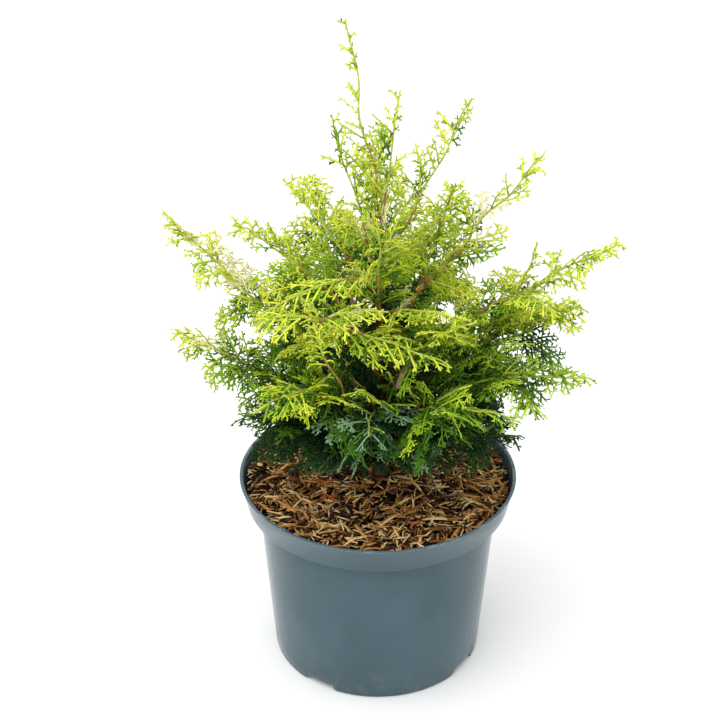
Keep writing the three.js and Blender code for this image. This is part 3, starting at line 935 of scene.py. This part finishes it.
def spray_at(shoot, place, hand, lift, roll_play, draw):
    """One fan of a twig: where it leaves it, which way it lies and how far it reaches."""
    share = place / shoot["twig"].length
    tangent = shoot["twig"].heading(share)
    roll = math.radians(play(draw, roll_play) + hand * lift)
    lean = math.radians(SPRAY_ANGLE_DEG + play(draw, SPRAY_ANGLE_PLAY_DEG))
    reach = shoot["spray"] * side_profile(share, SIDE_FALL) * (1 + play(draw, SPRAY_LENGTH_PLAY))
    out = turned_about(level_across(shoot["compass"]) * hand, tangent, roll)
    along = tangent * math.cos(lean) + out * math.sin(lean)
    normal = np.cross(tangent, out)
    normal = normal / np.linalg.norm(normal) * (1 if normal[2] >= 0 else -1)
    return {
        "root": shoot["twig"].at(share),
        "along": along,
        "side": np.cross(normal, along),
        "normal": normal,
        "reach": reach,
        "share": share,
        "shoot": shoot,
    }


def kinked(spine, draw):
    """The same line with the slight zigzag that a twig grows in."""
    share = spine.shares[:, None]
    wave = np.zeros_like(spine.points)
    for halves in TWIG_WAVES:
        bend = np.array([play(draw, 1) for _ in range(3)])
        wave += bend * np.sin(halves * math.pi * share)
    return Spine(spine.points + wave * TWIG_KINK * spine.length)


def hem_under(point):
    """The height that foliage ends at over a place of the mulch."""
    parting = HEM_PARTING * math.exp(-(((point[0] - HEM_PARTING_AT) / HEM_PARTING_WIDTH) ** 2))
    return MULCH_TOP + HEM_ROOM + (parting - HEM_SLOPE * point[1] if point[1] < 0 else 0)


def side_twig(bearer, share, spine, spray, bare):
    """A twig that another bears, as a shoot of its own with its own fans."""
    ahead = spine.at(1) - spine.at(0)
    return {
        "name": bearer["name"],
        "tier": bearer["tier"],
        "compass": math.atan2(ahead[1], ahead[0]),
        "spray": spray,
        "twig": spine,
        "bare": bare,
        "from": share,
    }


def grown_side_twigs():
    """The side twigs of every shoot, and after them the long side shoots."""
    made = []
    for k, shoot in enumerate(shoots):
        draw = seeded(FOLIAGE_SEED + len(shoots) + k)
        pitch = OPEN_TWIG_PITCH if shoot["tier"] in OPEN_TIERS else SIDE_TWIG_PITCH
        places = np.arange(SIDE_TWIG_FIRST, SIDE_TWIG_LAST * shoot["twig"].length, pitch)
        for i, place in enumerate(places):
            hand = 1 if i % 2 else -1
            spray = spray_at(shoot, place, hand, SIDE_TWIG_LIFT_DEG, SPRAY_ROLL_PLAY_DEG, draw)
            length = SIDE_TWIG_LENGTH * spray["reach"]
            rise, rise_play = SIDE_TWIG_RISE
            aside = spray["side"] * play(draw, SIDE_TWIG_BEND) + spray["normal"] * SIDE_TWIG_BEND
            half = spray["root"] + (spray["along"] / 2 + aside) * length
            tip = spray["root"] + (spray["along"] + UP * (rise + play(draw, rise_play))) * length
            spine = kinked(bezier(spray["root"], half, tip), draw)
            if tip[2] > hem_under(tip) + SIDE_TWIG_ROOM * length:
                made.append(side_twig(shoot, spray["share"], spine, SIDE_TWIG_SPRAY * length, 0))
    for k, (name, share, compass, reach, rise, lift, aside, bare) in enumerate(LONG_SHOOTS):
        turn = math.radians(compass)
        root = shoot_named[name]["twig"].at(share)
        tip = root + np.array([reach * math.cos(turn), reach * math.sin(turn), rise])
        middle = (root + tip) / 2 + lift * UP - aside * level_across(turn)
        spine = kinked(bezier(root, middle, tip), seeded(FOLIAGE_SEED + k))
        long_one = side_twig(shoot_named[name], share, spine, LONG_SHOOT_SPRAY, bare)
        made.append({**long_one, "lighter": LONG_SHOOT_LIGHTER, "radius": LONG_SHOOT_RADIUS})
    return made


def twig_form(spine, foot_radius, tip_radius, across):
    """Rings of corners along a twig's spine, slightly uneven, closed at both ends."""
    rings = max(3, round(spine.length / TWIG_STEP))
    share = np.linspace(*TWIG_ENDS, rings)
    heading = spine.heading(share)
    side = across - heading * (heading @ across)[:, None]
    side = side / np.linalg.norm(side, axis=1, keepdims=True)
    other = np.cross(heading, side)
    knobs = 1 + TWIG_KNOBS * np.sin(5 * np.arange(rings))
    radius = (foot_radius + (tip_radius - foot_radius) * share) * knobs
    turn = 2 * math.pi * np.arange(TWIG_SIDES)[:, None] / TWIG_SIDES
    out = np.cos(turn) * side[:, None] + np.sin(turn) * other[:, None]
    corners = spine.at(share)[:, None] + radius[:, None, None] * out
    vertices = np.concatenate([corners.reshape(-1, 3), spine.at(np.array([0.0, 1.0]))])
    return vertices, tube_triangles(TWIG_SIDES, rings, pointed=True)


def gathered(forms):
    """The corners and faces of many forms as one list of each."""
    vertices, triangles, offset = [], [], 0
    for points, faces in forms:
        vertices.append(points.reshape(-1, 3))
        triangles.append(faces.reshape(-1, 3) + offset)
        offset += len(vertices[-1])
    return np.concatenate(vertices), np.concatenate(triangles)


def twig_skin(name, dark, light):
    """Thin young bark, or the scales that clothe a green twig: streaked, with a fine relief."""
    made, wire = new_finish(name)
    place = wire.node("TexCoord", {}, {}, "Object")
    streaks = wire.cloud(place, 500, 4)
    colour = streaks.ramp(0.3, 0.7).blend(linear(dark), linear(light))
    relief = {"Height": streaks, "Strength": 0.5, "Distance": 0.0005}
    coat(wire, colour, 0.55 + 0.2 * streaks, wire.node("Bump", {}, relief), shine=0.3)
    return made


for k, shoot in enumerate(shoots):
    shoot["twig"] = kinked(shoot["twig"], seeded(FOLIAGE_SEED + KINK_SEEDS * k))
side_twigs = grown_side_twigs()
twig_forms = {"woody": [], "shaded": [], "green": []}
for shoot in shoots + side_twigs:
    clad = "shaded" if shoot["tier"] == "skirt" else "green"
    foot_radius = OPEN_RADIUS if shoot["tier"] in OPEN_TIERS else TWIG_RADIUS
    foot_radius = shoot.get("radius", SIDE_TWIG_RADIUS) if "from" in shoot else foot_radius
    woody = shoot["bare"] + SIDE_TWIG_WOODY if "from" in shoot else TWIG_WOODY
    for kind, low, high in (("woody", 0, woody), (clad, woody, 1)):
        radii = [foot_radius + (TWIG_TIP_RADIUS - foot_radius) * share for share in (low, high)]
        part = shoot["twig"].stretch(low, high)
        twig_forms[kind].append(twig_form(part, *radii, level_across(shoot["compass"])))
twig_skins = {
    "woody": twig_skin("young_twig", "7f5a30", "bb9054"),
    "shaded": twig_skin("shaded_twig", "3c5a1e", "6a8432"),
    "green": twig_skin("green_twig", "8fa436", "c2ca5c"),
}
for kind, forms in twig_forms.items():
    twigs = joined(*gathered(forms), "twigs_" + kind, twig_skins[kind])
    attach(twigs, "root")
    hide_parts(*["foliage_" + shoot["name"] for shoot in shoots])

# ---- Foliage ----
# Flat fans of scale leaves. A fan leaves its twig at a slant, droops to its tip, and carries
# branchlets down both edges, each with still smaller ones: closed ribbons of overlapping scales.

# blue_green and deep_green are the leaves' own dark green, darkened further as painted shade for the low
# and inner fans that take them.
TONES = {
    "blue_green": "1c3c26",
    "grey_green": "7da476",
    "deep_green": "1f430f",
    "mid_green": "4f7c14",
    "fresh_green": "8ab020",
    "lime": "b3cd2c",
    "gold_lime": "dae348",
    "cream": "fff7bc",
    "dried": "b5652c",
}
TONE_ORDER = ["blue_green", "deep_green", "mid_green", "fresh_green", "lime", "gold_lime"]
# A tier's habit: its slot, how far apart its fans stand on a twig, how broad one is for its reach,
# and how far it droops.
HABITS = {
    "skirt": {"slot": "foliage_low", "pitch": 3.6, "breadth": 0.42, "sag": 0.26},
    "low": {"slot": "foliage_middle", "pitch": 4.2, "breadth": 0.42, "sag": 0.28},
    "middle": {"slot": "foliage_middle", "pitch": 5.4, "breadth": 0.42, "sag": 0.24},
    "upper": {"slot": "foliage_top", "pitch": 7.4, "breadth": 0.36, "sag": 0.16},
    "crown": {"slot": "foliage_top", "pitch": 11, "breadth": 0.26, "sag": 0.04},
    "leader": {"slot": "foliage_top", "pitch": 12, "breadth": 0.16, "sag": 0.02},
}
LIFTS_DEG = (0, -34, 42, -12, 22)  # how a twig's fans are rolled, one after the other
OPEN_LIFTS_DEG = (0, 90, 45)
FROND_LIFTS_DEG = (-6, -24)
FROND_ROLL_PLAY_DEG = 22
FROND_PITCH = 5
FROND_LAST = 0.9  # of a side twig
CORE_LIFTS_DEG = (0, 137, -85, 52, -170, -33, 105, -118)
CORE_FIRST = 0.25  # of a bough
CORE_PITCH = 3.6
CORE_REACH = 40
# How much darker the fans on the boughs and trunk are: painted shade for the plant's inside.
CORE_PAINTED_SHADE = 0.4
# The stretches of the trunk whose own fans take a tier's habit.
CORE_STRETCHES = (("skirt", 0.1, 0.3), ("low", 0.3, 0.55), ("middle", 0.55, 0.9))
TIP_FAN_SHARE = 0.26  # of a twig, under the fan that ends it
FAN_EDGE = (0.6, 0.3)  # for its reach: how far out a fan's edge is tested, and how far aside
CUP = 0.7
SWEEP_PLAY = 0.14
SPRAY_ATTEMPTS = 8
SPRAY_SHORTER = 0.92
# The orders of a fan, from its axis down: its own half width, and how many rings shape it; how far
# apart its side pieces stand and where the first and last do; their angle and bend; and, below the
# axis, how long they are for what is left of it, and the most.
ORDERS = (
    dict(half=1.05, rings=5, pitch=4.4, first=3.5, last=2, angle=46, bend=8),
    dict(half=0.95, rings=3, pitch=2.7, first=2.4, last=1, angle=44, bend=6, share=0.5, most=9),
    dict(half=0.85, rings=2, pitch=2.5, first=2, last=1, angle=42, bend=0, share=0.3, most=4),
    dict(half=0.85, rings=1),
)
PITCH_PLAY = 0.5
ANGLE_PLAY_DEG = 10
BEND_PLAY_DEG = 14
LENGTH_PLAY = 0.24
TILT_PLAY = 0.22
BRANCHLET_SHORTEST = 4
LOBE_ADDED = 2.3
LOBE_LONGEST = 5.2  # a piece longer than this bears smaller ones
RIBBON_THICK = 0.5  # of a ribbon's half width
RIBBON_TAPER = 0.25
RIBBON_SCALLOP = 0.1
RIBBON_RING_AT = 0.62  # of the stretch that each ring shapes
LIGHTER_OUT = 0.3  # how much lighter a small piece is at the end of what bears it
# A fan is lighter from one height up and for its way out: the height where that begins, how much
# higher and how far out it is full; the shares of height, way out and place; the play, low and high.
# Low and inner fans take darker tones partly as painted shade; the lime of high, outer fans is the
# plant's own colour.
LIGHT_FROM = 225
LIGHT_RISE = 130
LIGHT_REACH = 150
LIGHT_SHARES = (0.5, 0.34, 0.16)
LIGHT_PLAY = (0.12, 0.14)
CREAM_STRETCHES = {
    "middle_1": (0.42, 0.76),
    "upper_2": (0.32, 0.62),
    "low_1": (0.66, 0.86),
    "crown_2": (0.1, 0.35),
    "crown_4": (0.05, 0.3),
    "middle_2": (0.4, 0.6),
}
CREAM_RISE = 0.1  # only fans that rise so much for their reach turn cream
CREAM_CHANCE = 0.85
GREY_SHOOTS = ("skirt_3", "low_3")
GREY_CHANCE = 0.45
# By this chance a fan's inner part is painted a tone darker, as shade inside the plant.
PAINTED_SHADE_CHANCE = 0.4  # of a fan whose inner part stays a tone darker
BRIGHTER_CHANCE = 0.5  # of a fan whose outer part is a tone lighter still
# Dried fans that have dropped on the mulch: where the foot lies, the compass side and the reach.
FALLEN = [((-55, 6), -70, 26), ((-50, -8), -20, 22), ((-46, -26), -50, 18), ((38, -70), 160, 16)]
FALLEN_HABIT = {"slot": "bark_mulch", "breadth": 0.5, "sag": 0.1}
FALLEN_SWEEP = 0.2
PIECE_TRIANGLES = 190000
SPACE_PLAY = 3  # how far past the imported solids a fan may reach
RIM_ROOM = 4
# Hollows among the masses: where each lies and how far the fans keep off its middle.
HOLLOWS = [(np.array([57, -70, 314]), 18), (np.array([-24, -38, 384]), 17)]
BARE_STEM_ROOM = 8
BARE_STEM_SHARES = (0.2, 0.35, 0.5, 0.65)

room_low = np.array(cad_box[0]) / MM - SPACE_PLAY
room_high = np.array(cad_box[1]) / MM + SPACE_PLAY
# What the fans leave open: the cut stub, the hollows, and a bare stem in the left-hand front.
bare_stem = side_twigs[-len(LONG_SHOOTS)]["twig"]
open_places = [(stub_spine.at(1), STUB_ROOM), *HOLLOWS]
open_places += [(bare_stem.at(share), BARE_STEM_ROOM) for share in BARE_STEM_SHARES]
strands = {}
fans = []


def fan_point(spray, x, y):
    """A point of a fan from its own two sizes: along its axis, and off to the side."""
    y += spray["sweep"] * x * x / spray["reach"]
    flat = spray["root"] + spray["along"] * x + spray["side"] * y
    return flat - (spray["normal"] * CUP * y * y + UP * spray["sag"] * x * x) / spray["reach"]


def fits(spray):
    """True where the fan stays in the plant's own space and off the mulch and the rim."""
    reach = spray["reach"]
    far, wide = (share * reach for share in FAN_EDGE)
    for x, y in ((reach, 0), (far, wide), (far, -wide)):
        point = fan_point(spray, x, y)
        if (point < room_low).any() or (point > room_high).any():
            return False
        if any(np.linalg.norm(point - centre) < room for centre, room in open_places):
            return False
        on_rim = math.hypot(point[0], point[1]) > COLLAR_FOOT_RADIUS - RIM_ROOM
        if point[2] < max(hem_under(point), POT_HEIGHT + RIM_ROOM if on_rim else 0):
            return False
    return True


def lay_piece(fan, order, place, heading, bend, tilt, length, light):
    """Notes one ribbon of a fan and, down both its edges, the smaller ones of the next order."""
    rule = ORDERS[order]
    draw = fan["draw"]
    bears = length > LOBE_LONGEST and order < len(ORDERS) - 1
    rings = rule["rings"] if bears else 1
    row = (fan["number"], *place, heading, bend, tilt, length, rule["half"])
    tone = fan["tones"][1 if light > 0.5 or order == 0 else 0]
    strands.setdefault((fan["slot"], tone), {}).setdefault(rings, []).append(row)
    if not bears:
        return
    stations = np.arange(rule["first"], length - rule["last"], rule["pitch"])
    for k, gone in enumerate(stations + play(draw, PITCH_PLAY)):
        share = gone / length
        hand = 1 if k % 2 else -1
        if order == 0:
            size = max(BRANCHLET_SHORTEST, length * fan["breadth"] * side_profile(share, FAN_FALL))
        else:
            size = min(rule["most"], (length - gone) * rule["share"] + LOBE_ADDED)
        turn = heading + bend * share / 2
        x, y, z = place
        start = (x + gone * math.cos(turn), y + gone * math.sin(turn), z + tilt * gone)
        fork = hand * math.radians(rule["angle"] + play(draw, ANGLE_PLAY_DEG))
        curve = hand * math.radians(rule["bend"] + play(draw, BEND_PLAY_DEG))
        facing = heading + bend * share + fork
        slant = tilt + play(draw, TILT_PLAY)
        size *= 1 + play(draw, LENGTH_PLAY)
        lighter = share if order == 0 else light + LIGHTER_OUT * share
        lay_piece(fan, order + 1, start, facing, curve, slant, size, lighter)


def grow_fan(spray, habit, tones, draw):
    """Notes all the ribbons of one fan. Its outer part takes a lighter tone than its inner part."""
    fan = {**habit, "number": len(fans), "tones": tones, "draw": draw}
    frame_rows = [*spray["root"], *spray["along"], *spray["side"], *spray["normal"]]
    fans.append((*frame_rows, spray["reach"], spray["sag"], spray["sweep"]))
    lay_piece(fan, 0, (-0.5, 0, 0), 0, 0, 0, spray["reach"], 0)


def tones_of(spray, draw):
    """The inner and outer tone of a fan: lighter for its height, its way out, and by chance. Low and
    inner fans are darker partly as painted shade.
    """
    shoot = spray["shoot"]
    tip = fan_point(spray, spray["reach"], 0)
    height = min(1, max(0, (tip[2] - LIGHT_FROM) / LIGHT_RISE))
    outward = min(1, math.hypot(tip[0], tip[1]) / LIGHT_REACH)
    place = max(shoot.get("from", 0), spray["share"])
    for_height, for_way_out, for_place = LIGHT_SHARES
    light = for_height * height + for_way_out * outward * height**0.5 + for_place * place * height
    least, more = LIGHT_PLAY
    light += play(draw, least + more * height) + shoot.get("lighter", 0) * min(1, 3 * height)
    step = min(len(TONE_ORDER) - 2, max(0, int(light * (len(TONE_ORDER) - 0.6))))
    low, high = CREAM_STRETCHES.get(shoot["name"], (2, 2))
    raised = tip[2] > spray["root"][2] + CREAM_RISE * spray["reach"]
    if raised and low < shoot.get("from", spray["share"]) < high and draw() < CREAM_CHANCE:
        return "cream", "gold_lime" if draw() < 0.5 else "cream"
    if shoot["name"] in GREY_SHOOTS and step < 3 and draw() < GREY_CHANCE:
        return TONE_ORDER[step], "grey_green"
    # Some fans' inner part is a tone darker: painted shade.
    painted_shade_step = step > 2 and draw() < PAINTED_SHADE_CHANCE
    brighter = step > 1 and draw() < BRIGHTER_CHANCE
    return TONE_ORDER[step - painted_shade_step], TONE_ORDER[min(len(TONE_ORDER) - 1, step + 1 + brighter)]


def clothe(shoot, places, lifts, roll_play, draw):
    """Lays a fan at each place of a twig, on alternate sides, turned again where it doesn't fit."""
    habit = HABITS[shoot["tier"]]
    for i, place in enumerate(places):
        for attempt in range(SPRAY_ATTEMPTS):
            spray = spray_at(shoot, place, 1 if i % 2 else -1, lifts[i % len(lifts)], roll_play, draw)
            spray["reach"] *= SPRAY_SHORTER**attempt
            spray["sag"] = habit["sag"]
            spray["sweep"] = play(draw, SWEEP_PLAY)
            if fits(spray):
                grow_fan(spray, habit, tones_of(spray, draw), draw)
                break


def end_fan(shoot, draw):
    """The fan that a twig ends in: it lies along the twig's last stretch."""
    place = (1 - TIP_FAN_SHARE) * shoot["twig"].length
    spray = spray_at(shoot, place, 1, 0, FROND_ROLL_PLAY_DEG, draw)
    across = spray["normal"]
    spray["along"] = shoot["twig"].at(1) - spray["root"]
    spray["reach"] = np.linalg.norm(spray["along"])
    spray["along"] = spray["along"] / spray["reach"]
    spray["side"] = np.cross(across, spray["along"])
    spray["side"] = spray["side"] / np.linalg.norm(spray["side"])
    spray["normal"] = np.cross(spray["along"], spray["side"])
    spray["sag"] = 0
    spray["sweep"] = 0
    grow_fan(spray, HABITS[shoot["tier"]], tones_of(spray, draw), draw)


for k, shoot in enumerate(shoots):
    draw = seeded(FOLIAGE_SEED + k)
    lifts = OPEN_LIFTS_DEG if shoot["tier"] in OPEN_TIERS else LIFTS_DEG
    places = np.arange(SPRAY_FIRST, shoot["twig"].length, HABITS[shoot["tier"]]["pitch"])
    clothe(shoot, places, lifts, SPRAY_ROLL_PLAY_DEG, draw)
    end_fan(shoot, draw)
    if shoot["bough"]:
        # Fans on the bough take darker tones, as painted shade inside the plant.
        core = {**shoot, "twig": shoot["bough"], "spray": CORE_REACH, "lighter": -CORE_PAINTED_SHADE}
        places = np.arange(CORE_FIRST * shoot["bough"].length, shoot["bough"].length, CORE_PITCH)
        clothe(core, places, CORE_LIFTS_DEG, SPRAY_ROLL_PLAY_DEG, draw)
# Fans on the trunk take darker tones too, as painted shade.
for tier, low, high in CORE_STRETCHES:
    stem = {"name": "trunk", "tier": tier, "compass": 0, "spray": CORE_REACH, "lighter": -CORE_PAINTED_SHADE}
    stem["twig"] = trunk_spine.stretch(low, high)
    places = np.arange(0, stem["twig"].length, CORE_PITCH)
    clothe(stem, places, CORE_LIFTS_DEG, SPRAY_ROLL_PLAY_DEG, seeded(FOLIAGE_SEED + round(100 * low)))
for k, shoot in enumerate(side_twigs):
    draw = seeded(FOLIAGE_SEED + 3 * len(shoots) + k)
    length = shoot["twig"].length
    places = np.arange(max(SPRAY_FIRST, shoot["bare"] * length), FROND_LAST * length, FROND_PITCH)
    clothe(shoot, places, FROND_LIFTS_DEG, FROND_ROLL_PLAY_DEG, draw)
    end_fan(shoot, draw)
for k, ((x, y), compass, reach) in enumerate(FALLEN):
    turn = math.radians(compass)
    fallen = {
        "root": np.array([x, y, MULCH_TOP + SLIVER_HEAP + 1]),
        "along": np.array([math.cos(turn), math.sin(turn), 0]),
        "side": level_across(turn),
        "normal": UP,
        "reach": reach,
        "sag": FALLEN_HABIT["sag"],
        "sweep": FALLEN_SWEEP,
    }
    grow_fan(fallen, FALLEN_HABIT, ("dried", "dried"), seeded(FOLIAGE_SEED + k))


def ribbon_forms(rows, rings):
    """Closed three-cornered ribbons, keeled on top, that follow their bent lines to a blunt point."""
    rows = np.array(rows)
    frames = np.array(fans)[rows[:, 0].astype(int)]
    root, along, side, normal = (frames[:, i : i + 3][:, None] for i in (0, 3, 6, 9))
    reach, sag, sweep = (frames[:, i][:, None] for i in (12, 13, 14))
    x, y, z, heading, bend, tilt, length, half = (rows[:, i][:, None] for i in range(1, 9))
    share = np.array([*((np.arange(rings) + RIBBON_RING_AT) / rings), 0, 1])[None]
    gone = length * share
    turn = heading + bend * share / 2
    far = x + gone * np.cos(turn)
    wide = y + gone * np.sin(turn) + sweep * far * far / reach
    high = z + tilt * gone - CUP * wide**2 / reach
    line = root + along * far[..., None] + side * wide[..., None] + normal * high[..., None]
    line[..., 2] -= sag * far * far / reach
    facing = heading + bend * share
    across = side * np.cos(facing)[..., None] - along * np.sin(facing)[..., None]
    scallop = 1 + RIBBON_SCALLOP * (-1.0) ** np.arange(rings + 2)[None]
    slim = half * (1 - RIBBON_TAPER * share) * scallop
    keel = normal * (slim * RIBBON_THICK)[..., None]
    across = across * slim[..., None]
    corners = np.stack([line - across - keel / 2, line + across - keel / 2, line + keel], 2)[:, :-2]
    block = np.concatenate([corners.reshape(len(rows), -1, 3), line[:, -2:]], 1)
    triangles = tube_triangles(3, rings, pointed=True)[None]
    return block, triangles + block.shape[1] * np.arange(len(rows))[:, None, None]


def scale_leaves(name, tint):
    """Satin scale leaves: a plain tone with faint mottling, and the scales' edges as fine relief."""
    made, wire = new_finish(name)
    place = wire.node("TexCoord", {}, {}, "Object")
    mottle = wire.cloud(place, 240, 3)
    scales = wire.cloud(place, 1500)
    colour = mottle.ramp(0.3, 0.7).blend(linear(tint, 0.8), linear(tint, 1.2))
    relief = {"Height": scales, "Strength": 0.35, "Distance": 0.0003}
    coat(wire, colour, 0.5 + 0.15 * mottle, wire.node("Bump", {}, relief), shine=0.25)
    return made


leaf_finishes = {tone: scale_leaves("leaves_" + tone, tint) for tone, tint in TONES.items()}
for (slot, tone), by_rings in sorted(strands.items()):
    vertices, triangles = gathered(ribbon_forms(rows, rings) for rings, rows in sorted(by_rings.items()))
    masses = ["foliage_" + shoot["name"] for shoot in shoots if HABITS[shoot["tier"]]["slot"] == slot]
    pieces = math.ceil(len(triangles) / PIECE_TRIANGLES)
    for piece in range(pieces):
        chosen = triangles[piece * len(triangles) // pieces : (piece + 1) * len(triangles) // pieces]
        used, renumbered = np.unique(chosen, return_inverse=True)
        name = f"leaves_{slot}_{tone}_{piece + 1}"
        leaves = joined(vertices[used], renumbered.reshape(-1, 3), name, leaf_finishes[tone])
        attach(leaves, "root")
        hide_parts(*(masses or ["mulch"]))
